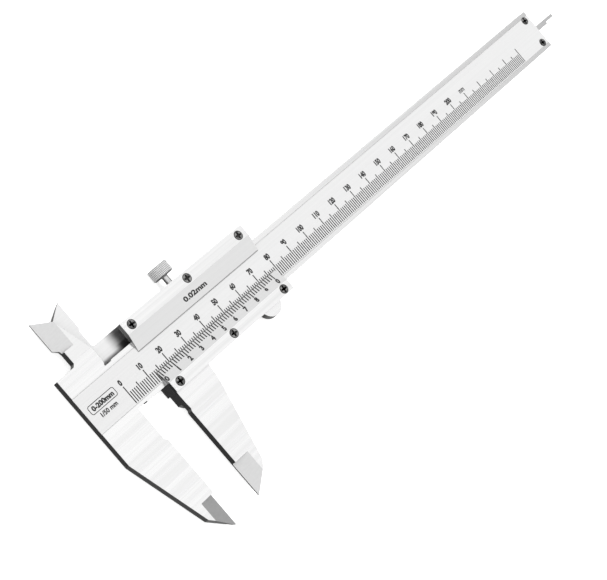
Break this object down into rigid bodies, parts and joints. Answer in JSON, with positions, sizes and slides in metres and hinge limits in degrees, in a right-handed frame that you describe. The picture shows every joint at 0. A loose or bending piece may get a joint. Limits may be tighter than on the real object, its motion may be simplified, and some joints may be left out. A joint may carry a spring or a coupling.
{
  "type": "vernier caliper",
  "caption": "Vernier caliper with outside and inside jaws, sliding vernier, lock screw and depth rod, lying on its back.",
  "frame": {"origin": "where the fixed measuring plane crosses the beam's centre line, at the level of the plane that the caliper lies on", "axes": "+X along the beam to its free end, +Y towards the inside jaws, +Z out of the graduated face"},
  "size_m": [0.3013, 0.0953, 0.0083],
  "materials": {
    "beam_steel": "brushed along the beam, satin in the scale recess",
    "slider_steel": "brushed along the beam",
    "plate_steel": "satin",
    "rod_steel": "ground",
    "knob_steel": "satin plated, knurled",
    "black_screws": "black oxide",
    "gib_brass": "drawn strip"
  },
  "bodies": {
    "beam": {"main_beam": "beam_steel", "end_stop_plate": "plate_steel", "end_screw_upper": "black_screws", "end_screw_lower": "black_screws"},
    "slider": {"slider_body": "slider_steel", "upper_cover_plate": "plate_steel", "vernier_plate": "plate_steel", "cover_screw_left": "black_screws", "cover_screw_middle": "black_screws", "cover_screw_right": "black_screws", "vernier_screw_left": "black_screws", "vernier_screw_middle": "black_screws", "vernier_screw_right": "black_screws", "gib_screw_left": "black_screws", "gib_screw_right": "black_screws", "depth_rod": "rod_steel", "rod_pin_left": "rod_steel", "rod_pin_right": "rod_steel"},
    "gib": {"gib_strip": "gib_brass"},
    "lock": {"lock_screw": "knob_steel"}
  },
  "joints": [
    {"name": "slider_travel", "type": "slide", "parent": "beam", "child": "slider", "axis": [1, 0, 0], "range_m": [-0.014, 0.186]},
    {"name": "gib_press", "type": "slide", "parent": "slider", "child": "gib", "axis": [0, -1, 0], "range_m": [0, 0.00015]},
    {"name": "lock_screw_turn", "type": "hinge", "parent": "gib", "child": "lock", "pos_m": [0.0418, 0.0195, 0.0042], "axis": [0, -1, 0], "range_deg": [0, 120]}
  ],
  "couplings": [
    {"joint": "lock_screw_turn", "follows": "gib_press", "rad_per_m": 13963}
  ]
}
